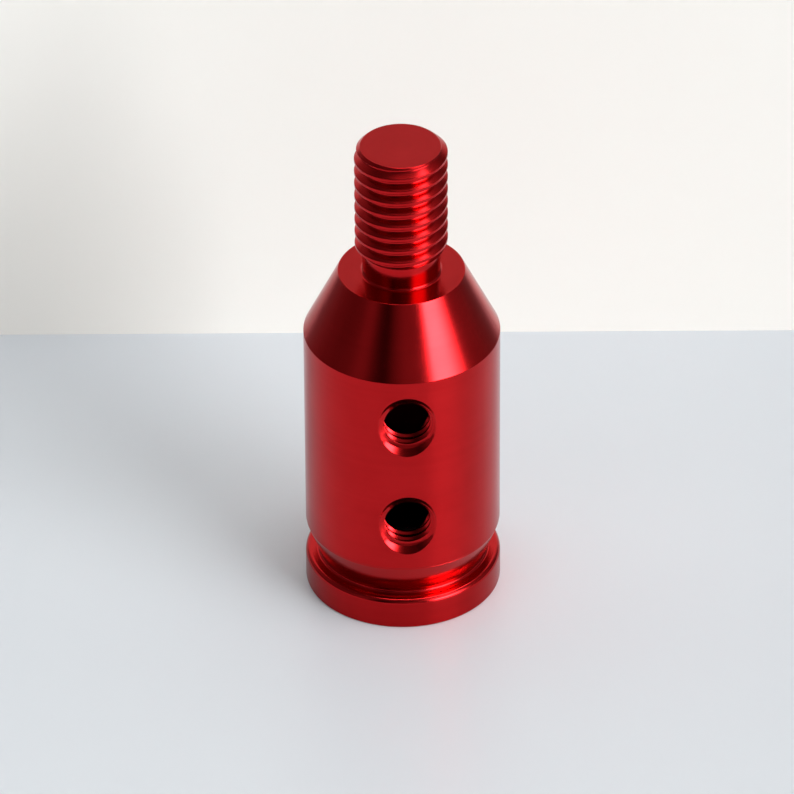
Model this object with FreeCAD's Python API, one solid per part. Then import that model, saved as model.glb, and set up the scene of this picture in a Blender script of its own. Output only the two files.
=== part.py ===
import FreeCAD, Part
import math
import os

from FreeCAD import Vector as V

# Threaded gear knob adapter for a plain (unthreaded) gear lever.
# One turned aluminium body slides over the end of the lever, radial set
# screws grip the lever, and a knob screws onto the stud at the top.
#
# Frame: millimetres, origin at the centre of the bottom face, +Z along the
# turning axis towards the stud. The empty pair of tapped holes looks to -Y.

# ---------------------------------------------------------------- body, outside
flange_d = 21.1          # retaining flange at the foot
flange_top_z = 3.6       # height of the flange's upper face
flange_edge_r = 0.6      # round on the flange's upper rim
base_break = 0.2         # edge break on the flange's lower rim
groove_d = 17.94         # foot of the groove that holds the boot's collar
groove_fillet = 0.3      # fillet where the groove meets the flange
body_d = 21.0            # main barrel
barrel_low_z = 7.75      # the groove's 20 degree taper ends here
barrel_top_z = 31.85     # the upper cone starts here
shoulder_d = 13.52       # flat seat for the knob
shoulder_z = 39.45

# ---------------------------------------------------------------- threaded stud
neck_d = 8.3             # thread relief under the thread
neck_fillet = 0.3
thread_start_z = 42.1    # run-out cone starts at the relief
stud_crest_d = 9.88      # M10 x 1.5 external thread, crest diameter
stud_end_d = 8.6         # end face inside the 45 degree chamfer
total_h = 55.0

# ---------------------------------------------------------------- lever bore
bore_d = 15.0
bore_depth = 31.0        # length of the cylindrical wall
bore_mouth = 0.5         # 45 degree lead-in at the mouth
drill_angle = 118.0      # included angle of the blind end

# ---------------------------------------------------------------- radial holes
hole_rows_z = (13.43, 26.2)
hole_minor_d = 5.0       # M6 x 1 tapping hole, the wall of the two empty holes
hole_major_d = 6.0       # M6 x 1 thread root, the wall around each fitted screw
sink_d = 7.5             # countersink, diameter at the barrel's tangent plane
sink_angle = 110.0       # its included angle
column_front = -90.0     # azimuths of the three columns of holes, 120 degrees apart
column_right = 30.0
column_left = 150.0

# ---------------------------------------------------------------- set screws
screw_d = 5.9            # M6 x 1, 0.05 mm clear of the hole's root
screw_l = 2.88           # from the bore wall to just under the barrel surface
screw_tip_x = 7.5        # distance of the tip from the turning axis
hex_af = 3.0             # socket, across flats
hex_depth = 1.5
tip_chamfer = 0.6
rim_chamfer = 0.25
cup_d = 3.0              # cup point
cup_depth = 0.4


def revolve(points):
    """Solid of revolution about Z from (r, z) points; a point may carry a
    third value, the radius of a round on that corner."""
    n = len(points)
    corners = []
    for i, p in enumerate(points):
        here = V(p[0], 0, p[1])
        if len(p) == 2:
            corners.append((here, None, here))
            continue
        a, b = points[i - 1], points[(i + 1) % n]
        u = (V(a[0], 0, a[1]) - here).normalize()
        w = (V(b[0], 0, b[1]) - here).normalize()
        half = u.getAngle(w) / 2
        t = p[2] / math.tan(half)
        start, end = here + u * t, here + w * t
        bis = (u + w).normalize()
        centre = here + bis * (p[2] / math.sin(half))
        corners.append((start, centre - bis * p[2], end))
    edges = []
    for i, (start, mid, end) in enumerate(corners):
        if mid is not None:
            edges.append(Part.Arc(start, mid, end).toShape())
        nxt = corners[(i + 1) % n][0]
        if end.distanceToPoint(nxt) > 1e-9:
            edges.append(Part.LineSegment(end, nxt).toShape())
    face = Part.Face(Part.Wire(edges))
    return face.revolve(V(0, 0, 0), V(0, 0, 1), 360)


def radial(azimuth):
    a = math.radians(azimuth)
    return V(math.cos(a), math.sin(a), 0)


def rod(axis, z, r, x0, x1):
    """Cylinder on a radial axis, from distance x0 to x1 from the turning axis."""
    return Part.makeCylinder(r, x1 - x0, axis * x0 + V(0, 0, z), axis)


def countersink(axis, z):
    slope = math.tan(math.radians(sink_angle / 2))
    reach = 1.0                            # the cutter runs past the surface
    depth = (sink_d / 2 - 2.0) / slope     # and tapers to a 4 mm nose, inside the hole
    x0 = body_d / 2 - depth
    return Part.makeCone(2.0, sink_d / 2 + reach * slope, depth + reach, axis * x0 + V(0, 0, z), axis)


def adapter_body():
    outside = revolve([
        (0, 0),
        (flange_d / 2 - base_break, 0),
        (flange_d / 2, base_break),
        (flange_d / 2, flange_top_z, flange_edge_r),
        (groove_d / 2, flange_top_z, groove_fillet),
        (body_d / 2, barrel_low_z),
        (body_d / 2, barrel_top_z),
        (shoulder_d / 2, shoulder_z),
        (neck_d / 2, shoulder_z, neck_fillet),
        (neck_d / 2, thread_start_z),
        (stud_crest_d / 2, thread_start_z + (stud_crest_d - neck_d) / 2),
        (stud_crest_d / 2, total_h - (stud_crest_d - stud_end_d) / 2),
        (stud_end_d / 2, total_h),
        (0, total_h),
    ])
    tip_z = bore_depth + bore_d / 2 / math.tan(math.radians(drill_angle / 2))
    bore = revolve([
        (0, -1),
        (bore_d / 2 + bore_mouth, -1),
        (bore_d / 2 + bore_mouth, 0),
        (bore_d / 2, bore_mouth),
        (bore_d / 2, bore_depth),
        (0, tip_z),
    ])
    solid = outside.cut(bore)
    for azimuth in (column_front, column_right, column_left):
        axis = radial(azimuth)
        r = (hole_minor_d if azimuth == column_front else hole_major_d) / 2
        for z in hole_rows_z:
            solid = solid.cut(rod(axis, z, r, 3.0, body_d / 2 + 2))
            solid = solid.cut(countersink(axis, z))
    return solid


def set_screw(azimuth, z):
    """Hexagon socket set screw, cup point inwards, its thread drawn at the
    crest diameter."""
    tip, out = screw_tip_x, screw_tip_x + screw_l
    r = screw_d / 2
    body = revolve([
        (0, tip + cup_depth),
        (cup_d / 2, tip),
        (r - tip_chamfer, tip),
        (r, tip + tip_chamfer),
        (r, out - rim_chamfer),
        (r - rim_chamfer, out),
        (0, out),
    ])
    corner = hex_af / math.sqrt(3)
    ring = [V(corner * math.cos(math.radians(60 * k)), corner * math.sin(math.radians(60 * k)), out - hex_depth)
            for k in range(7)]
    socket = Part.Face(Part.makePolygon(ring)).extrude(V(0, 0, hex_depth + 1))
    lead = Part.makeCone(corner - 0.25, corner + 0.75, 1.0, V(0, 0, out - 0.25), V(0, 0, 1))
    body = body.cut(socket).cut(lead)
    body.rotate(V(0, 0, 0), V(0, 1, 0), 90)
    body.rotate(V(0, 0, 0), V(0, 0, 1), azimuth)
    body.translate(V(0, 0, z))
    return body


parts = {"adapter_body": adapter_body()}
for side, azimuth in (("right", column_right), ("left", column_left)):
    for row, z in (("lower", hole_rows_z[0]), ("upper", hole_rows_z[1])):
        parts["set_screw_%s_%s" % (side, row)] = set_screw(azimuth, z)

os.makedirs("parts", exist_ok=True)
for node, shape in parts.items():
    if shape.ShapeType == "Compound" and len(shape.Solids) == 1:
        shape = shape.Solids[0]
    assert shape.isValid() and len(shape.Solids) == 1, node
    shape.exportStep("parts/%s.step" % node)
    box = shape.BoundBox
    print("%-24s volume %9.2f mm3  x %.2f..%.2f  y %.2f..%.2f  z %.2f..%.2f" % (
        node, shape.Volume, box.XMin, box.XMax, box.YMin, box.YMax, box.ZMin, box.ZMax))
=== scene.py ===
import math

import bmesh
import bpy
import numpy as np
from mathutils import Matrix, Vector


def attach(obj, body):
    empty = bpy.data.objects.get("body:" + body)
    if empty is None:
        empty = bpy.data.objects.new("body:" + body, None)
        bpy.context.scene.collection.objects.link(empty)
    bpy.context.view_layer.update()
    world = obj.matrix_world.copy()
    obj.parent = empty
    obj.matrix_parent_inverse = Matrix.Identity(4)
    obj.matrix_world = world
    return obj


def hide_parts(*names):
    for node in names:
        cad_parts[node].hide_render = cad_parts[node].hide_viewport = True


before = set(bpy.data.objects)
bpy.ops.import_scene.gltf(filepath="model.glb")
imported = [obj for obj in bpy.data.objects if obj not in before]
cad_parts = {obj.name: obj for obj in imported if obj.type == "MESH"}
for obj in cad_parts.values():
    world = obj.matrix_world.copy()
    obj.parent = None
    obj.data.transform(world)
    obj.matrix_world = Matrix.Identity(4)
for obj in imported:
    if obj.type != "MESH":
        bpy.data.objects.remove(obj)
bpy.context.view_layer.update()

# Everything is drawn in millimetres in the row frame and scaled on the way
# into a mesh.
MM = 0.001
TAU = 2 * math.pi

# ------------------------------------------------------------ sizes, from CAD
BARREL_R = 10.5
FLANGE_R = 10.55
GROOVE_R = 8.97
FLANGE_TOP = 3.6
BARREL_LOW = 7.75
BARREL_TOP = 31.85
SHOULDER_R = 6.76
SHOULDER_Z = 39.45
NECK_R = 4.15
NECK_TOP = 42.1
CREST_R = 4.94
END_R = 4.3
TOP_Z = 55.0
BORE_R = 7.5
BORE_DEPTH = 31.0
MOUTH = 0.5
HOLE_Z = (13.43, 26.2)
SINK_R = 3.75
SINK_HALF = math.radians(55)
STUD_PITCH = 1.5
HOLE_PITCH = 1.0
COLUMNS = {"front": -90.0, "right": 30.0, "left": 150.0}
SCREW_TIP = 7.5
SCREW_LEN = 2.88
HEX_AF = 3.0
HEX_DEPTH = 1.5


# ---------------------------------------------------------------- mesh helpers
def rounded(points, steps=7):
    """Corner list [(r, z) or (r, z, fillet)] to segments
    [(point a, point b, normal a, normal b)], the normal on the left of the
    path, with every fillet turned into short arc segments."""
    pts = []
    n = len(points)
    for i, p in enumerate(points):
        here = np.array(p[:2], float)
        if len(p) == 2 or i in (0, n - 1):
            pts.append([here])
            continue
        a = np.array(points[i - 1][:2], float) - here
        b = np.array(points[i + 1][:2], float) - here
        a /= np.linalg.norm(a)
        b /= np.linalg.norm(b)
        half = math.acos(max(-1, min(1, a @ b))) / 2
        t = p[2] / math.tan(half)
        bis = (a + b) / np.linalg.norm(a + b)
        centre = here + bis * p[2] / math.sin(half)
        start, end = here + a * t, here + b * t
        u0 = (start - centre) / p[2]
        u1 = (end - centre) / p[2]
        sweep = math.acos(max(-1, min(1, u0 @ u1)))
        side = 1 if u0[0] * u1[1] - u0[1] * u1[0] > 0 else -1
        arc = []
        for k in range(steps + 1):
            w = side * sweep * k / steps
            c, s = math.cos(w), math.sin(w)
            arc.append(centre + p[2] * np.array([c * u0[0] - s * u0[1], s * u0[0] + c * u0[1]]))
        pts.append((arc, centre))
    segs = []
    last = None
    for item in pts:
        if isinstance(item, tuple):
            arc, centre = item
            if last is not None and np.linalg.norm(arc[0] - last) > 1e-6:
                segs.append((last, arc[0], None, None))
            for k in range(len(arc) - 1):
                segs.append((arc[k], arc[k + 1], centre, centre))
            last = arc[-1]
        else:
            if last is not None and np.linalg.norm(item[0] - last) > 1e-6:
                segs.append((last, item[0], None, None))
            last = item[0]
    out = []
    for a, b, ca, cb in segs:
        d = (b - a) / np.linalg.norm(b - a)
        flat = np.array([-d[1], d[0]])
        if ca is None:
            out.append((a, b, flat, flat))
        else:
            na, nb = a - ca, b - cb
            na, nb = na / np.linalg.norm(na), nb / np.linalg.norm(nb)
            if na @ flat < 0:
                na, nb = -na, -nb
            out.append((a, b, na, nb))
    return out


def mesh_object(name, verts, faces):
    """verts in millimetres."""
    me = bpy.data.meshes.new(name)
    me.from_pydata([tuple(v) for v in np.asarray(verts, float) * MM], [], faces)
    me.validate()
    ob = bpy.data.objects.new(name, me)
    bpy.context.scene.collection.objects.link(ob)
    return ob


def outward(ob):
    bm = bmesh.new()
    bm.from_mesh(ob.data)
    bmesh.ops.recalc_face_normals(bm, faces=bm.faces[:])
    bm.to_mesh(ob.data)
    bm.free()


def revolve(name, segs, n):
    """Solid of revolution from a chain of segments that starts and ends on
    the axis."""
    chain = [segs[0][0]] + [s[1] for s in segs]
    verts, rings = [], []
    ang = np.arange(n) * TAU / n
    for r, z in chain:
        if r < 1e-6:
            rings.append([len(verts)])
            verts.append((0, 0, z))
        else:
            rings.append(list(range(len(verts), len(verts) + n)))
            verts += [(r * math.cos(t), r * math.sin(t), z) for t in ang]
    faces = []
    for a, b in zip(rings, rings[1:]):
        for i in range(n):
            j = (i + 1) % n
            if len(a) == 1:
                faces.append((a[0], b[i], b[j]))
            elif len(b) == 1:
                faces.append((a[i], b[0], a[j]))
            else:
                faces.append((a[i], b[i], b[j], a[j]))
    ob = mesh_object(name, verts, faces)
    outward(ob)
    return ob


def helical_rod(pitch, profile, z0, z1, n, phase=0.0):
    """Closed right-hand threaded rod along +Z. profile is [(t, r)] over one
    pitch, t from 0 to below 1."""
    m = len(profile)
    ts = [p[0] for p in profile]
    rs = [p[1] for p in profile]
    kmin = math.floor((z0 - phase) / pitch) - 2
    kmax = math.ceil((z1 - phase) / pitch) + 2
    q0, q1 = kmin * m, kmax * m

    def zr(i, q):
        k, j = divmod(q, m)
        return phase + pitch * (k + ts[j] + i / n), rs[j]

    verts, index = [], {}

    def get(i, q):
        if i == n:
            i, q = 0, q + m
        z, r = zr(i, q)
        if z <= z0:
            key = (i, "lo")
        elif z >= z1:
            key = (i, "hi")
        else:
            key = (i, q)
        if key not in index:
            t = TAU * i / n
            if key[1] in ("lo", "hi"):
                zz = z0 if key[1] == "lo" else z1
                qq = q0
                while zr(i, qq + 1)[0] < zz:
                    qq += 1
                (za, ra), (zb, rb) = zr(i, qq), zr(i, qq + 1)
                w = (zz - za) / (zb - za)
                r, z = ra + (rb - ra) * w, zz
            index[key] = len(verts)
            verts.append((r * math.cos(t), r * math.sin(t), z))
        return index[key]

    faces = []
    for i in range(n):
        for q in range(q0, q1 - m):
            f = [get(i, q), get(i + 1, q), get(i + 1, q + 1), get(i, q + 1)]
            g = [v for k, v in enumerate(f) if v != f[k - 1]]
            if len(set(g)) >= 3:
                faces.append(tuple(g))
    for key, z, flip in (("lo", z0, True), ("hi", z1, False)):
        c = len(verts)
        verts.append((0, 0, z))
        for i in range(n):
            a, b = index[(i, key)], index[((i + 1) % n, key)]
            faces.append((c, b, a) if flip else (c, a, b))
    return np.array(verts), faces


def helical_groove(pitch, section, z0, z1, n, phase_deg=0.0):
    """Closed solid swept along a right-hand helix. section is [(r, dz)]."""
    turns = (z1 - z0) / pitch
    steps = int(round(turns * n))
    m = len(section)
    verts, faces = [], []
    for s in range(steps + 1):
        t = math.radians(phase_deg) + TAU * s / n
        z = z0 + pitch * s / n
        for r, dz in section:
            verts.append((r * math.cos(t), r * math.sin(t), z + dz))
    for s in range(steps):
        for j in range(m):
            k = (j + 1) % m
            faces.append((s * m + j, s * m + k, (s + 1) * m + k, (s + 1) * m + j))
    faces.append(tuple(range(m)))
    faces.append(tuple(steps * m + j for j in reversed(range(m))))
    return np.array(verts), faces


def placed(verts, azimuth, z):
    """From a local frame whose +Z is the screw's outward axis to the row
    frame."""
    a = math.radians(azimuth)
    out = np.array([math.cos(a), math.sin(a), 0.0])
    side = np.array([-math.sin(a), math.cos(a), 0.0])
    up = np.array([0.0, 0.0, 1.0])
    v = np.asarray(verts)
    return np.outer(v[:, 2], out) + np.outer(v[:, 0], side) + np.outer(v[:, 1], up) + np.array([0, 0, z])


def joined(name, groups):
    verts, faces = [], []
    for v, f in groups:
        base = len(verts)
        verts += [tuple(p) for p in v]
        faces += [tuple(base + i for i in g) for g in f]
    ob = mesh_object(name, verts, faces)
    outward(ob)
    return ob


def cut(ob, cutter):
    mod = ob.modifiers.new("cut", "BOOLEAN")
    mod.operation, mod.solver, mod.object = "DIFFERENCE", "EXACT", cutter
    dg = bpy.context.evaluated_depsgraph_get()
    me = bpy.data.meshes.new_from_object(ob.evaluated_get(dg))
    ob.modifiers.clear()
    old = ob.data
    ob.data = me
    bpy.data.meshes.remove(old)
    gone = cutter.data
    bpy.data.objects.remove(cutter)
    bpy.data.meshes.remove(gone)
    return ob


def tidy(ob, dist=0.0002):
    bm = bmesh.new()
    bm.from_mesh(ob.data)
    bmesh.ops.remove_doubles(bm, verts=bm.verts[:], dist=dist * MM)
    bmesh.ops.dissolve_degenerate(bm, edges=bm.edges[:], dist=dist * MM)
    bm.normal_update()
    loose = [v for v in bm.verts if not v.link_faces]
    bmesh.ops.delete(bm, geom=loose, context="VERTS")
    bad = sum(1 for e in bm.edges if not e.is_manifold)
    bm.to_mesh(ob.data)
    bm.free()
    print(ob.name, "faces", len(ob.data.polygons), "edges not manifold", bad)
    return ob


def exact_normals(ob, segs, holes, sharp_deg=26.0):
    """Smooth shading. Faces that lie on the turned profile or on a countersink
    take the true surface normal, and the rest take the mesh's own."""
    me = ob.data
    me.polygons.foreach_set("use_smooth", [True] * len(me.polygons))
    me.set_sharp_from_angle(angle=math.radians(sharp_deg))
    nl, npoly = len(me.loops), len(me.polygons)
    corner = np.zeros(nl * 3, np.float32)
    me.corner_normals.foreach_get("vector", corner)
    corner = corner.reshape(-1, 3).astype(float)
    co = np.zeros(len(me.vertices) * 3)
    me.vertices.foreach_get("co", co)
    co = co.reshape(-1, 3) / MM
    centre = np.zeros(npoly * 3)
    me.polygons.foreach_get("center", centre)
    centre = centre.reshape(-1, 3) / MM
    normal = np.zeros(npoly * 3)
    me.polygons.foreach_get("normal", normal)
    normal = normal.reshape(-1, 3)
    start = np.zeros(npoly, int)
    me.polygons.foreach_get("loop_start", start)
    total = np.zeros(npoly, int)
    me.polygons.foreach_get("loop_total", total)
    lv = np.zeros(nl, int)
    me.loops.foreach_get("vertex_index", lv)

    def seg_of(pts):
        best = np.full(len(pts), 1e9)
        which = np.zeros(len(pts), int)
        par = np.zeros(len(pts))
        for k, (a, b, na, nb) in enumerate(segs):
            d = b - a
            t = np.clip(((pts - a) @ d) / (d @ d), 0, 1)
            q = np.linalg.norm(pts - a - t[:, None] * d, axis=1)
            less = q < best - 1e-7
            best[less], which[less], par[less] = q[less], k, t[less]
        return best, which, par

    rz = np.c_[np.hypot(centre[:, 0], centre[:, 1]), centre[:, 2]]
    dist, which, par = seg_of(rz)
    A = np.array([s[0] for s in segs])
    D = np.array([s[1] for s in segs]) - A
    NA = np.array([s[2] for s in segs])
    NB = np.array([s[3] for s in segs])
    n2 = NA[which] * (1 - par)[:, None] + NB[which] * par[:, None]
    n2 /= np.linalg.norm(n2, axis=1)[:, None]
    rr = np.maximum(rz[:, 0], 1e-9)
    n3 = np.c_[n2[:, 0] * centre[:, 0] / rr, n2[:, 0] * centre[:, 1] / rr, n2[:, 1]]
    ok = (dist < 0.012) & ((n3 * normal).sum(1) > 0.985)
    poly_of = np.repeat(np.arange(npoly), total)
    order = np.concatenate([np.arange(s, s + t) for s, t in zip(start, total)]) if npoly else np.array([], int)
    loop_poly = np.zeros(nl, int)
    loop_poly[order] = poly_of
    k = which[loop_poly]
    v = co[lv]
    vr = np.hypot(v[:, 0], v[:, 1])
    vp = np.c_[vr, v[:, 2]]
    t = np.clip(((vp - A[k]) * D[k]).sum(1) / (D[k] ** 2).sum(1), 0, 1)
    m2 = NA[k] * (1 - t)[:, None] + NB[k] * t[:, None]
    m2 /= np.linalg.norm(m2, axis=1)[:, None]
    safe = np.maximum(vr, 1e-9)
    m3 = np.c_[m2[:, 0] * v[:, 0] / safe, m2[:, 0] * v[:, 1] / safe, m2[:, 1]]
    use = ok[loop_poly]
    corner[use] = m3[use]
    for azimuth, z, reach in holes:
        a = math.radians(azimuth)
        out = np.array([math.cos(a), math.sin(a), 0.0])
        base = np.array([0, 0, z])
        x = (centre - base) @ out
        off = centre - base - x[:, None] * out
        rho = np.linalg.norm(off, axis=1)
        on = (x > 0) & (np.abs(rho - (SINK_R - (BARREL_R - x) * math.tan(SINK_HALF))) < 0.02) & (rho < 4.2) & ~ok
        want = -off / np.maximum(rho, 1e-9)[:, None] * math.cos(SINK_HALF) + out * math.sin(SINK_HALF)
        on &= (want * normal).sum(1) > 0.97
        sel = on[loop_poly]
        xv = (v - base) @ out
        ov = v - base - xv[:, None] * out
        rv = np.maximum(np.linalg.norm(ov, axis=1), 1e-9)
        wv = -ov / rv[:, None] * math.cos(SINK_HALF) + out * math.sin(SINK_HALF)
        corner[sel] = wv[sel]
    me.normals_split_custom_set(corner.tolist())
    return ob


# ------------------------------------------------------------ the adapter body
def thread_ring(pitch, r_crest, r_root, crest, root_r=0.0, soft=0.0):
    """One pitch of a 60 degree thread as (t, r): the crest centred on t = 0.5.
    soft rounds the crest's corners over that width, root_r rounds the root."""
    deep = (r_crest - r_root) * math.tan(math.radians(30))
    c = crest / 2
    pts = []
    if soft:
        pts += [(-c - soft * 0.9, r_crest - soft * 0.75), (-c - soft * 0.35, r_crest - soft * 0.2), (-c + soft * 0.4, r_crest)]
        pts += [(c - soft * 0.4, r_crest), (c + soft * 0.35, r_crest - soft * 0.2), (c + soft * 0.9, r_crest - soft * 0.75)]
    else:
        pts += [(-c, r_crest), (c, r_crest)]
    foot = c + deep
    if root_r:
        pts = [(-foot - root_r * 0.45, r_root), (-foot - root_r * 0.05, r_root + root_r * 0.12),
               (-foot + root_r * 0.35, r_root + root_r * 0.62)] + pts + \
              [(foot - root_r * 0.35, r_root + root_r * 0.62), (foot + root_r * 0.05, r_root + root_r * 0.12),
               (foot + root_r * 0.45, r_root)]
    else:
        pts = [(-foot, r_root)] + pts + [(foot, r_root)]
    return [((0.5 + dz / pitch), r) for dz, r in pts]


SOFT = 0.05
body_profile = rounded([
    (0, TOP_Z),
    (END_R, TOP_Z, 0.07),
    (CREST_R, TOP_Z - (CREST_R - END_R)),
    (CREST_R, NECK_TOP + (CREST_R - NECK_R)),
    (NECK_R, NECK_TOP),
    (NECK_R, SHOULDER_Z, 0.3),
    (SHOULDER_R, SHOULDER_Z, SOFT),
    (BARREL_R, BARREL_TOP, SOFT),
    (BARREL_R, BARREL_LOW + 0.11),
    (BARREL_R - 0.05, BARREL_LOW + 0.05),
    (BARREL_R - 0.06, BARREL_LOW - 0.03),
    (BARREL_R - 0.04, BARREL_LOW - 0.11),
    (GROOVE_R, FLANGE_TOP, 0.3),
    (FLANGE_R, FLANGE_TOP, 0.6),
    (FLANGE_R, 0.0, 0.18),
    (BORE_R + MOUTH, 0.0),
    (BORE_R, MOUTH),
    (BORE_R, BORE_DEPTH),
    (0, BORE_DEPTH + BORE_R / math.tan(math.radians(59))),
])
# the path runs down the outside, so the outward normal is on its left
body = revolve("adapter_body_turned", body_profile, 256)

# stud thread: the groove is cut out of the crest cylinder, and runs out into
# the relief neck below and through the end chamfer above
CREST_Z = 43.3                      # a crest's height on the front of the stud
crest_flat = 0.34
root_r = 4.22
half_open = (STUD_PITCH - crest_flat) / 2
drop = CREST_R - root_r
half_root = half_open - drop * math.tan(math.radians(30))
e = 0.06
section = [
    (root_r, -half_root * 0.45), (root_r, half_root * 0.45),
    (root_r + 0.035, half_root * 0.85), (root_r + 0.13, half_root + 0.055),
    (CREST_R - e, half_open - e * 0.577), (CREST_R - e * 0.3, half_open - e * 0.05), (CREST_R, half_open + e * 0.5),
    (CREST_R + 0.05, half_open + e * 0.5), (CREST_R + 0.05, -half_open - e * 0.5),
    (CREST_R, -half_open - e * 0.5), (CREST_R - e * 0.3, -half_open + e * 0.05), (CREST_R - e, -half_open + e * 0.577),
    (root_r + 0.13, -half_root - 0.055), (root_r + 0.035, -half_root * 0.85),
]
z_groove = CREST_Z - STUD_PITCH / 2          # groove centre on the front
z_first = z_groove - STUD_PITCH              # in the relief neck
gv, gf = helical_groove(STUD_PITCH, section, z_first, z_first + STUD_PITCH * 10, 160, -90.0)
cut(body, joined("stud_groove", [(gv, gf)]))

# radial holes: a 110 degree countersink down to the thread's major diameter,
# then the M6 x 1 thread right through the wall
hole_thread = thread_ring(HOLE_PITCH, 3.0, 2.5, 0.14, root_r=0.0, soft=0.0)
HOLE_PHASE = 0.18
rods, cones = [], []
for column, azimuth in COLUMNS.items():
    for z in HOLE_Z:
        rv, rf = helical_rod(HOLE_PITCH, hole_thread, 5.2, 12.4, 96, HOLE_PHASE)
        rods.append((placed(rv, azimuth, z), rf))
        n = 128
        slope = math.tan(SINK_HALF)
        x_foot, x_far = BARREL_R - (SINK_R - 3.0) / slope, BARREL_R + 1.2
        steps = [(2.2, x_foot - 0.8 / math.tan(math.radians(80))), (3.0, x_foot), (SINK_R + 1.2 * slope, x_far)]
        ring = [(r * math.cos(TAU * i / n), r * math.sin(TAU * i / n), x) for r, x in steps for i in range(n)]
        cf = [(k * n + i, k * n + (i + 1) % n, (k + 1) * n + (i + 1) % n, (k + 1) * n + i) for k in (0, 1) for i in range(n)]
        cf += [tuple(reversed(range(n))), tuple(range(2 * n, 3 * n))]
        cones.append((placed(ring, azimuth, z), cf))
cut(body, joined("hole_threads", rods))
cut(body, joined("hole_sinks", cones))
tidy(body)
exact_normals(body, body_profile, [(a, z, 0) for a in COLUMNS.values() for z in HOLE_Z])


# ------------------------------------------------------------------ set screws
def set_screw(name, azimuth, z):
    """Cup point set screw in the hole's own thread, outer end at the barrel."""
    r_crest, r_root = 2.93, 2.44
    thread = thread_ring(HOLE_PITCH, r_crest, r_root, 0.10, soft=0.03)
    # the whole thread sits 0.03 mm inside the hole's thread
    v, f = helical_rod(HOLE_PITCH, thread, SCREW_TIP, SCREW_TIP + SCREW_LEN, 96, HOLE_PHASE)
    ob = joined(name, [(v, f)])
    tip, out = SCREW_TIP, SCREW_TIP + SCREW_LEN
    far = 5.0
    # turn both ends to their chamfers, and cut the cup point
    ends = rounded([
        (0, tip + 0.42), (1.42, tip + 0.03, 0.03), (2.35, tip + 0.03, 0.03), (2.95, tip + 0.62),
        (3.4, tip + 1.1), (far, tip + 1.1), (far, tip - 2), (0, tip - 2),
    ], 3)
    cut(ob, revolve("tip_tool", ends, 96))
    rim = rounded([
        (0, out + 2), (far, out + 2), (far, out - 1.0), (3.3, out - 0.62), (2.68, out - 0.03, 0.04), (1.98, out - 0.03, 0.03),
        (1.62, out - 0.36), (0, out - 0.36),
    ], 3)
    cut(ob, revolve("rim_tool", rim, 96))
    corner = HEX_AF / math.sqrt(3)
    hexv, n = [], 6
    for zz in (out - HEX_DEPTH, out + 1):
        hexv += [(corner * math.cos(TAU * (i + 0.5) / n), corner * math.sin(TAU * (i + 0.5) / n), zz) for i in range(n)]
    hexf = [(i, (i + 1) % n, n + (i + 1) % n, n + i) for i in range(n)] + [tuple(reversed(range(n))), tuple(range(n, 2 * n))]
    cut(ob, joined("hex_tool", [(hexv, hexf)]))
    drill = rounded([(0, out + 0.5), (1.47, out + 0.5), (1.47, out - HEX_DEPTH - 0.05), (0, out - HEX_DEPTH - 0.45)], 2)
    cut(ob, revolve("drill_tool", drill, 64))
    tidy(ob)
    me = ob.data
    me.polygons.foreach_set("use_smooth", [True] * len(me.polygons))
    me.set_sharp_from_angle(angle=math.radians(28))
    co = np.zeros(len(me.vertices) * 3)
    me.vertices.foreach_get("co", co)
    moved = placed(co.reshape(-1, 3) / MM, azimuth, z) * MM
    me.vertices.foreach_set("co", moved.ravel())
    me.update()
    return ob


screws = {}
for column in ("right", "left"):
    for row, z in zip(("lower", "upper"), HOLE_Z):
        node = "set_screw_%s_%s" % (column, row)
        screws[node] = (set_screw(node + "_threaded", COLUMNS[column], z), "screw_%s_%s" % (column, row))


# ------------------------------------------------------------------- materials
def nodes_of(name):
    mat = bpy.data.materials.new(name)
    mat.use_nodes = True
    nt = mat.node_tree
    nt.nodes.clear()
    out = nt.nodes.new("ShaderNodeOutputMaterial")
    p = nt.nodes.new("ShaderNodeBsdfPrincipled")
    nt.links.new(p.outputs["BSDF"], out.inputs["Surface"])
    return mat, nt, p


def math_node(nt, op, a, b=None, c=None):
    m = nt.nodes.new("ShaderNodeMath")
    m.operation = op
    for k, v in enumerate((a, b, c)):
        if v is None:
            continue
        if isinstance(v, (int, float)):
            m.inputs[k].default_value = v
        else:
            nt.links.new(v, m.inputs[k])
    return m.outputs[0]


def turned_coordinate(nt):
    """Millimetre coordinates, and w = z - r, which runs along every turned
    face of the part."""
    tc = nt.nodes.new("ShaderNodeTexCoord")
    sc = nt.nodes.new("ShaderNodeVectorMath")
    sc.operation = "SCALE"
    sc.inputs["Scale"].default_value = 1000.0
    nt.links.new(tc.outputs["Object"], sc.inputs[0])
    sep = nt.nodes.new("ShaderNodeSeparateXYZ")
    nt.links.new(sc.outputs[0], sep.inputs[0])
    x2 = math_node(nt, "MULTIPLY", sep.outputs["X"], sep.outputs["X"])
    y2 = math_node(nt, "MULTIPLY", sep.outputs["Y"], sep.outputs["Y"])
    r = math_node(nt, "SQRT", math_node(nt, "ADD", x2, y2))
    w = math_node(nt, "SUBTRACT", sep.outputs["Z"], r)
    return sc.outputs[0], w


def noise(nt, dim, scale, vector=None, w=None, detail=3.0, rough=0.55):
    t = nt.nodes.new("ShaderNodeTexNoise")
    t.noise_dimensions = dim
    t.inputs["Scale"].default_value = scale
    t.inputs["Detail"].default_value = detail
    t.inputs["Roughness"].default_value = rough
    if vector is not None:
        nt.links.new(vector, t.inputs["Vector"])
    if w is not None:
        nt.links.new(w, t.inputs["W"])
    return t.outputs["Fac"]


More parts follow.
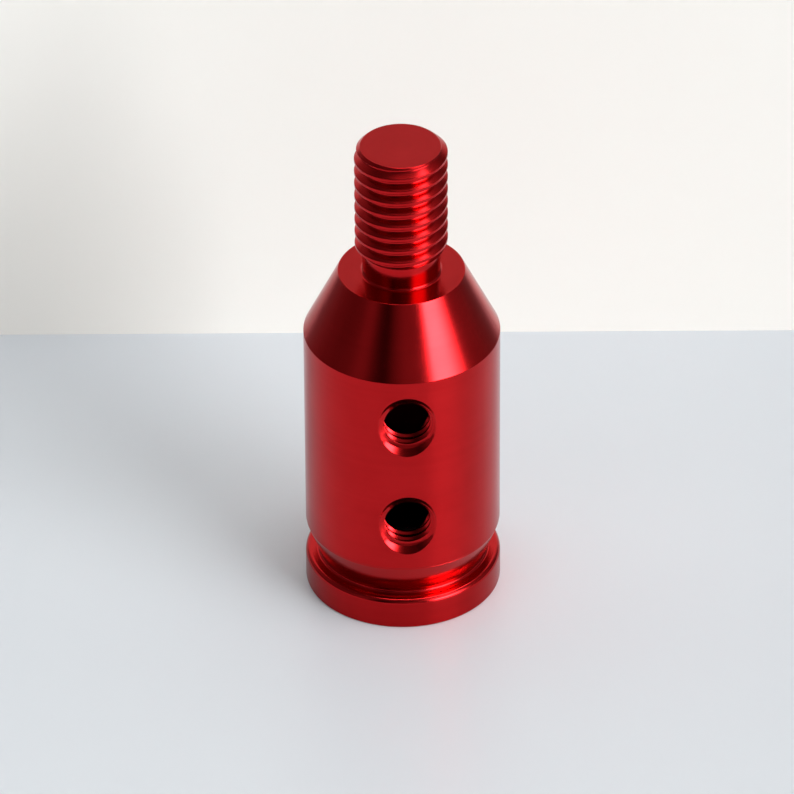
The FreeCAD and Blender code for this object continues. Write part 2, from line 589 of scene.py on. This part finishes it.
def anodised_red():
    mat, nt, p = nodes_of("anodised_red_turned")
    mm, w = turned_coordinate(nt)
    fine = noise(nt, "1D", 9.0, w=w, detail=4.0, rough=0.7)      # cutting marks, about 0.1 mm apart
    broad = noise(nt, "1D", 1.3, w=w, detail=2.0)
    cloud = noise(nt, "3D", 0.22, vector=mm, detail=3.0)
    grain = noise(nt, "3D", 14.0, vector=mm, detail=2.0, rough=0.6)
    # colour: the dye's depth drifts slightly over the part
    ramp = nt.nodes.new("ShaderNodeValToRGB")
    ramp.color_ramp.elements[0].position = 0.30
    ramp.color_ramp.elements[0].color = (0.545, 0.0125, 0.0150, 1)
    ramp.color_ramp.elements[1].position = 0.72
    ramp.color_ramp.elements[1].color = (0.625, 0.0160, 0.0190, 1)
    mix = math_node(nt, "ADD", math_node(nt, "MULTIPLY", cloud, 0.7), math_node(nt, "MULTIPLY", broad, 0.3))
    nt.links.new(mix, ramp.inputs[0])
    # edges carry a thinner film and look a little lighter
    bev = nt.nodes.new("ShaderNodeBevel")
    bev.samples = 4
    bev.inputs["Radius"].default_value = 0.05 * MM
    geo = nt.nodes.new("ShaderNodeNewGeometry")
    dot = nt.nodes.new("ShaderNodeVectorMath")
    dot.operation = "DOT_PRODUCT"
    nt.links.new(bev.outputs["Normal"], dot.inputs[0])
    nt.links.new(geo.outputs["Normal"], dot.inputs[1])
    edge = math_node(nt, "SUBTRACT", 1.0, dot.outputs["Value"])
    edge = math_node(nt, "MINIMUM", math_node(nt, "MULTIPLY", edge, 3.0), 1.0)
    edge = math_node(nt, "MULTIPLY", edge, math_node(nt, "MULTIPLY", grain, 0.55))
    light = nt.nodes.new("ShaderNodeMix")
    light.data_type = "RGBA"
    nt.links.new(edge, light.inputs["Factor"])
    nt.links.new(ramp.outputs["Color"], light.inputs["A"])
    light.inputs["B"].default_value = (0.78, 0.10, 0.10, 1)
    # the drilled bore is rougher, and its colour is mixed towards near black as painted shade inside the bore
    sep = nt.nodes.new("ShaderNodeSeparateXYZ")
    nt.links.new(mm, sep.inputs[0])
    x2 = math_node(nt, "MULTIPLY", sep.outputs["X"], sep.outputs["X"])
    y2 = math_node(nt, "MULTIPLY", sep.outputs["Y"], sep.outputs["Y"])
    inside = math_node(nt, "MULTIPLY", math_node(nt, "LESS_THAN", math_node(nt, "SQRT", math_node(nt, "ADD", x2, y2)), 7.56),
                       math_node(nt, "LESS_THAN", sep.outputs["Z"], 36.5))
    # painted shade: inside the bore the colour goes 78% of the way to near black
    deep = nt.nodes.new("ShaderNodeMix")
    deep.data_type = "RGBA"
    nt.links.new(math_node(nt, "MULTIPLY", inside, 0.78), deep.inputs["Factor"])
    nt.links.new(light.outputs["Result"], deep.inputs["A"])
    deep.inputs["B"].default_value = (0.03, 0.002, 0.003, 1)
    nt.links.new(deep.outputs["Result"], p.inputs["Base Color"])
    p.inputs["Metallic"].default_value = 1.0
    rough = math_node(nt, "ADD", 0.120, math_node(nt, "MULTIPLY", fine, 0.06))
    rough = math_node(nt, "ADD", rough, math_node(nt, "MULTIPLY", cloud, 0.03))
    rough = math_node(nt, "ADD", rough, math_node(nt, "MULTIPLY", inside, 0.30))
    nt.links.new(rough, p.inputs["Roughness"])
    p.inputs["Anisotropic"].default_value = 0.5
    tan = nt.nodes.new("ShaderNodeTangent")
    tan.direction_type = "RADIAL"
    tan.axis = "Z"
    nt.links.new(tan.outputs["Tangent"], p.inputs["Tangent"])
    height = math_node(nt, "ADD", math_node(nt, "MULTIPLY", fine, 0.8), math_node(nt, "MULTIPLY", grain, 0.2))
    bump = nt.nodes.new("ShaderNodeBump")
    bump.inputs["Strength"].default_value = 0.5
    bump.inputs["Distance"].default_value = 0.0012 * MM
    nt.links.new(height, bump.inputs["Height"])
    nt.links.new(bev.outputs["Normal"], bump.inputs["Normal"])
    nt.links.new(bump.outputs["Normal"], p.inputs["Normal"])
    return mat


def black_oxide():
    mat, nt, p = nodes_of("black_oxide_steel")
    mm, w = turned_coordinate(nt)
    grain = noise(nt, "3D", 9.0, vector=mm, detail=4.0, rough=0.65)
    cloud = noise(nt, "3D", 1.6, vector=mm, detail=3.0)
    ramp = nt.nodes.new("ShaderNodeValToRGB")
    ramp.color_ramp.elements[0].position = 0.35
    ramp.color_ramp.elements[0].color = (0.030, 0.031, 0.034, 1)
    ramp.color_ramp.elements[1].position = 0.70
    ramp.color_ramp.elements[1].color = (0.075, 0.074, 0.076, 1)
    nt.links.new(cloud, ramp.inputs[0])
    bev = nt.nodes.new("ShaderNodeBevel")
    bev.samples = 4
    bev.inputs["Radius"].default_value = 0.04 * MM
    geo = nt.nodes.new("ShaderNodeNewGeometry")
    dot = nt.nodes.new("ShaderNodeVectorMath")
    dot.operation = "DOT_PRODUCT"
    nt.links.new(bev.outputs["Normal"], dot.inputs[0])
    nt.links.new(geo.outputs["Normal"], dot.inputs[1])
    edge = math_node(nt, "MINIMUM", math_node(nt, "MULTIPLY", math_node(nt, "SUBTRACT", 1.0, dot.outputs["Value"]), 3.5), 1.0)
    edge = math_node(nt, "MULTIPLY", edge, grain)
    worn = nt.nodes.new("ShaderNodeMix")
    worn.data_type = "RGBA"
    nt.links.new(edge, worn.inputs["Factor"])
    nt.links.new(ramp.outputs["Color"], worn.inputs["A"])
    worn.inputs["B"].default_value = (0.34, 0.33, 0.32, 1)
    nt.links.new(worn.outputs["Result"], p.inputs["Base Color"])
    p.inputs["Metallic"].default_value = 0.9
    nt.links.new(math_node(nt, "ADD", 0.30, math_node(nt, "MULTIPLY", grain, 0.22)), p.inputs["Roughness"])
    bump = nt.nodes.new("ShaderNodeBump")
    bump.inputs["Strength"].default_value = 0.6
    bump.inputs["Distance"].default_value = 0.004 * MM
    nt.links.new(grain, bump.inputs["Height"])
    nt.links.new(bev.outputs["Normal"], bump.inputs["Normal"])
    nt.links.new(bump.outputs["Normal"], p.inputs["Normal"])
    return mat


red = anodised_red()
black = black_oxide()
body.data.materials.clear()
body.data.materials.append(red)
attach(body, "adapter")
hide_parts("adapter_body")
for node, (ob, rides) in screws.items():
    ob.data.materials.clear()
    ob.data.materials.append(black)
    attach(ob, rides)
    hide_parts(node)


# ----------------------------------------------------------------------- stage
def plane(name, corners):
    me = bpy.data.meshes.new(name)
    me.from_pydata([tuple(c * MM for c in p) for p in corners], [], [(0, 1, 2, 3)])
    ob = bpy.data.objects.new(name, me)
    bpy.context.scene.collection.objects.link(ob)
    return ob


CAM_AZ = -3.0
turn = math.radians(CAM_AZ)
WALL_Y = 46.0


def turned(x, y, z):
    """The backdrop stands square to the camera, not to the row axes."""
    return (x * math.cos(turn) - y * math.sin(turn), x * math.sin(turn) + y * math.cos(turn), z)


floor = plane("floor", [(-1500, -1500, 0), (1500, -1500, 0), (1500, 1500, 0), (-1500, 1500, 0)])
wall = plane("backdrop", [turned(-1500, WALL_Y, 0), turned(1500, WALL_Y, 0), turned(1500, WALL_Y, 900), turned(-1500, WALL_Y, 900)])

fm, fnt, fp = nodes_of("pale_floor")
fp.inputs["Base Color"].default_value = (0.765, 0.81, 0.86, 1)
fp.inputs["Roughness"].default_value = 0.30
floor.data.materials.append(fm)

wm = bpy.data.materials.new("pale_backdrop")
wm.use_nodes = True
wnt = wm.node_tree
wnt.nodes.clear()
wout = wnt.nodes.new("ShaderNodeOutputMaterial")
wdiff = wnt.nodes.new("ShaderNodeBsdfDiffuse")
wpos = wnt.nodes.new("ShaderNodeNewGeometry")
wsep = wnt.nodes.new("ShaderNodeSeparateXYZ")
wnt.links.new(wpos.outputs["Position"], wsep.inputs[0])
# painted shade: the backdrop's colour darkens with height, from 46 mm to 72 mm above the floor
wramp = wnt.nodes.new("ShaderNodeValToRGB")
wramp.color_ramp.elements[0].position = 0.0
wramp.color_ramp.elements[0].color = (0.84, 0.825, 0.785, 1)
wramp.color_ramp.elements[1].position = 1.0
wramp.color_ramp.elements[1].color = (0.60, 0.575, 0.53, 1)
wfade = wnt.nodes.new("ShaderNodeMapRange")
wfade.inputs["From Min"].default_value = 46 * MM
wfade.inputs["From Max"].default_value = 72 * MM
wnt.links.new(wsep.outputs["Z"], wfade.inputs["Value"])
wnt.links.new(wfade.outputs["Result"], wramp.inputs[0])
wnt.links.new(wramp.outputs["Color"], wdiff.inputs["Color"])
wclear = wnt.nodes.new("ShaderNodeBsdfTransparent")
# painted light: the backdrop also glows in its own colour at strength 0.16, for camera rays only
backdrop_painted_glow = wnt.nodes.new("ShaderNodeEmission")
wnt.links.new(wramp.outputs["Color"], backdrop_painted_glow.inputs["Color"])
wboth = wnt.nodes.new("ShaderNodeAddShader")
wnt.links.new(wdiff.outputs[0], wboth.inputs[0])
wnt.links.new(backdrop_painted_glow.outputs[0], wboth.inputs[1])


def outside(value, a, b):
    m = wnt.nodes.new("ShaderNodeMapRange")
    m.interpolation_type = "SMOOTHSTEP"
    m.inputs["From Min"].default_value = a * MM
    m.inputs["From Max"].default_value = b * MM
    wnt.links.new(value, m.inputs["Value"])
    return m.outputs["Result"]


# in reflections the backdrop is a card about 90 mm wide and 100 mm high
wside = math_node(wnt, "ABSOLUTE", wsep.outputs["X"])
wcard = math_node(wnt, "MAXIMUM", outside(wside, 34, 58), outside(wsep.outputs["Z"], 94, 108))
wpath = wnt.nodes.new("ShaderNodeLightPath")
wcard = math_node(wnt, "MULTIPLY", wcard, wpath.outputs["Is Glossy Ray"])
wmix = wnt.nodes.new("ShaderNodeMixShader")
wnt.links.new(math_node(wnt, "MAXIMUM", wpos.outputs["Backfacing"], wcard), wmix.inputs[0])
wnt.links.new(math_node(wnt, "MULTIPLY", wpath.outputs["Is Camera Ray"], 0.16), backdrop_painted_glow.inputs["Strength"])
wnt.links.new(wboth.outputs[0], wmix.inputs[1])
wnt.links.new(wclear.outputs[0], wmix.inputs[2])
wnt.links.new(wmix.outputs[0], wout.inputs["Surface"])
wall.data.materials.append(wm)

# painted shade: in reflections only, the floor's colour darkens towards grey close against the object, a painted
# contact shadow, and far from it, a painted falloff of the light
fpos = fnt.nodes.new("ShaderNodeNewGeometry")
flen = fnt.nodes.new("ShaderNodeVectorMath")
flen.operation = "LENGTH"
fnt.links.new(fpos.outputs["Position"], flen.inputs[0])
ffade = fnt.nodes.new("ShaderNodeMapRange")
ffade.interpolation_type = "SMOOTHSTEP"
ffade.inputs["From Min"].default_value = 70 * MM
ffade.inputs["From Max"].default_value = 190 * MM
fnt.links.new(flen.outputs["Value"], ffade.inputs["Value"])
fpath = fnt.nodes.new("ShaderNodeLightPath")
fnear = fnt.nodes.new("ShaderNodeMapRange")
fnear.interpolation_type = "SMOOTHSTEP"
fnear.inputs["From Min"].default_value = 12 * MM
fnear.inputs["From Max"].default_value = 22 * MM
fnear.inputs["To Min"].default_value = 0.40
fnear.inputs["To Max"].default_value = 0.14
fnt.links.new(flen.outputs["Value"], fnear.inputs["Value"])
floor_reflection_shade = math_node(fnt, "MULTIPLY", math_node(fnt, "MAXIMUM", ffade.outputs["Result"], fnear.outputs["Result"]), fpath.outputs["Is Glossy Ray"])
fmix = fnt.nodes.new("ShaderNodeMix")
fmix.data_type = "RGBA"
fnt.links.new(floor_reflection_shade, fmix.inputs["Factor"])
fmix.inputs["A"].default_value = (0.765, 0.81, 0.86, 1)
fmix.inputs["B"].default_value = (0.16, 0.16, 0.16, 1)
fnt.links.new(fmix.outputs["Result"], fp.inputs["Base Color"])

# studio surroundings: brightness by direction, a dim room with one low soft
# box on the right front
world = bpy.data.worlds.new("studio")
bpy.context.scene.world = world
world.use_nodes = True
nt = world.node_tree
nt.nodes.clear()
wo = nt.nodes.new("ShaderNodeOutputWorld")
bg = nt.nodes.new("ShaderNodeBackground")
nt.links.new(bg.outputs[0], wo.inputs["Surface"])
tc = nt.nodes.new("ShaderNodeTexCoord")
sep = nt.nodes.new("ShaderNodeSeparateXYZ")
nt.links.new(tc.outputs["Generated"], sep.inputs[0])
# azimuth in degrees from the camera, positive to the right; elevation in
# degrees
az = math_node(nt, "ARCTAN2", sep.outputs["X"], math_node(nt, "MULTIPLY", sep.outputs["Y"], -1.0))
az = math_node(nt, "SUBTRACT", math_node(nt, "MULTIPLY", az, 180 / math.pi), CAM_AZ)
el = math_node(nt, "MULTIPLY", math_node(nt, "ARCSINE", sep.outputs["Z"]), 180 / math.pi)


def step_up(value, a, b):
    m = nt.nodes.new("ShaderNodeMapRange")
    m.interpolation_type = "SMOOTHSTEP"
    m.inputs["From Min"].default_value = a
    m.inputs["From Max"].default_value = b
    nt.links.new(value, m.inputs["Value"])
    return m.outputs["Result"]


def band(value, a0, a1, b0, b1):
    """0 to 1 between a0 and a1, back to 0 between b0 and b1."""
    return math_node(nt, "MULTIPLY", step_up(value, a0, a1), math_node(nt, "SUBTRACT", 1.0, step_up(value, b0, b1)))


STRIPS = [(-180, 0.40), (-125, 0.25), (-108, 0.17), (-80, 0.12), (-62, 0.14), (-50, 0.23), (-42, 0.20), (-35, 0.09), (-27, 0.03), (-18, 0.02),
          (-13, 0.09), (-6, 0.16), (4, 0.23), (14, 0.21), (22, 0.10), (30, 0.28), (60, 0.28), (85, 0.24), (110, 0.22), (126, 0.12),
          (142, 0.30), (180, 0.40)]
strip = nt.nodes.new("ShaderNodeValToRGB")
cr = strip.color_ramp
cr.interpolation = "LINEAR"
while len(cr.elements) > 1:
    cr.elements.remove(cr.elements[-1])
for k, (deg, val) in enumerate(STRIPS):
    stop = cr.elements[0] if k == 0 else cr.elements.new((deg + 180) / 360)
    stop.position = (deg + 180) / 360
    stop.color = (val, val, val, 1)
nt.links.new(math_node(nt, "DIVIDE", math_node(nt, "ADD", az, 180.0), 360.0), strip.inputs[0])
low = nt.nodes.new("ShaderNodeSeparateColor")
nt.links.new(strip.outputs["Color"], low.inputs[0])
high = step_up(el, 34, 64)
ceiling = math_node(nt, "ADD", 0.22, math_node(nt, "MULTIPLY", sep.outputs["X"], 0.25))
room = math_node(nt, "ADD", math_node(nt, "MULTIPLY", low.outputs[0], math_node(nt, "SUBTRACT", 1.0, high)),
                 math_node(nt, "MULTIPLY", ceiling, high))
# a tall soft box on the right front, and one overhead, a little to the right
tall = math_node(nt, "MULTIPLY", band(az, 32.5, 36, 50, 77), band(el, 3, 7, 20, 28))
tall = math_node(nt, "MULTIPLY", tall, 13.0)
upper = math_node(nt, "MULTIPLY", band(az, 26, 40, 66, 84), band(el, 20, 28, 46, 60))
upper = math_node(nt, "MULTIPLY", upper, 2.1)
over = math_node(nt, "MULTIPLY", band(sep.outputs["X"], -0.24, -0.15, 0.42, 0.55), band(sep.outputs["Y"], -0.17, -0.09, 0.24, 0.40))
over = math_node(nt, "MULTIPLY", math_node(nt, "MULTIPLY", over, step_up(sep.outputs["Z"], 0.3, 0.6)), 5.7)
# the strip just above the camera is unlit
shade = math_node(nt, "MULTIPLY", band(az, -16, -8, 14, 24), band(el, 24, 30, 46, 56))
room = math_node(nt, "MULTIPLY", room, math_node(nt, "SUBTRACT", 1.0, math_node(nt, "MULTIPLY", shade, 0.7)))
total = math_node(nt, "ADD", room, math_node(nt, "ADD", tall, math_node(nt, "ADD", upper, over)))
nt.links.new(total, bg.inputs["Strength"])
bg.inputs["Color"].default_value = (1, 1, 1, 1)


def area(name, az_deg, el_deg, dist, w, h, power, color=(1, 1, 1), aim=(0, 0, 30), glossy=True):
    li = bpy.data.lights.new(name, "AREA")
    li.shape = "RECTANGLE"
    li.size, li.size_y = w * MM, h * MM
    li.energy = power
    li.color = color
    ob = bpy.data.objects.new(name, li)
    bpy.context.scene.collection.objects.link(ob)
    a, e = math.radians(az_deg + CAM_AZ), math.radians(el_deg)
    d = Vector((math.sin(a) * math.cos(e), -math.cos(a) * math.cos(e), math.sin(e)))
    ob.location = (Vector(aim) + d * dist) * MM
    ob.rotation_euler = d.to_track_quat("Z", "Y").to_euler()
    ob.visible_glossy = glossy
    return ob


# broad fills for the floor and the backdrop, kept out of the reflections
area("fill_front", -35, 45, 700, 600, 600, 0.36, (0.93, 0.98, 1.0), glossy=False)

# ---------------------------------------------------------------------- camera
E = math.radians(34.74)
DIST = 7745 / 9.324
AIM = Vector((0, 0, 22.88))
a = math.radians(CAM_AZ)
back = Vector((math.sin(a) * math.cos(E), -math.cos(a) * math.cos(E), math.sin(E)))
cam = bpy.data.cameras.new("camera")
cam.sensor_width = 36.0
cam.lens = 36.0 * 7745 / 794
cam.shift_x = -5.16 / 794
cam.shift_y = 0.5 / 794
cam.clip_start, cam.clip_end = 0.05, 20
cob = bpy.data.objects.new("camera", cam)
bpy.context.scene.collection.objects.link(cob)
cob.location = (AIM + back * DIST) * MM
look = (-back).to_track_quat("-Z", "Y").to_matrix().to_4x4()
roll = Matrix.Rotation(math.radians(-0.322), 4, "Z")
cob.rotation_euler = (look @ roll).to_euler()
bpy.context.scene.camera = cob

scene = bpy.context.scene
scene.view_settings.view_transform = "Standard"
scene.view_settings.look = "None"
scene.view_settings.exposure = 0.0
scene.view_settings.gamma = 1.0
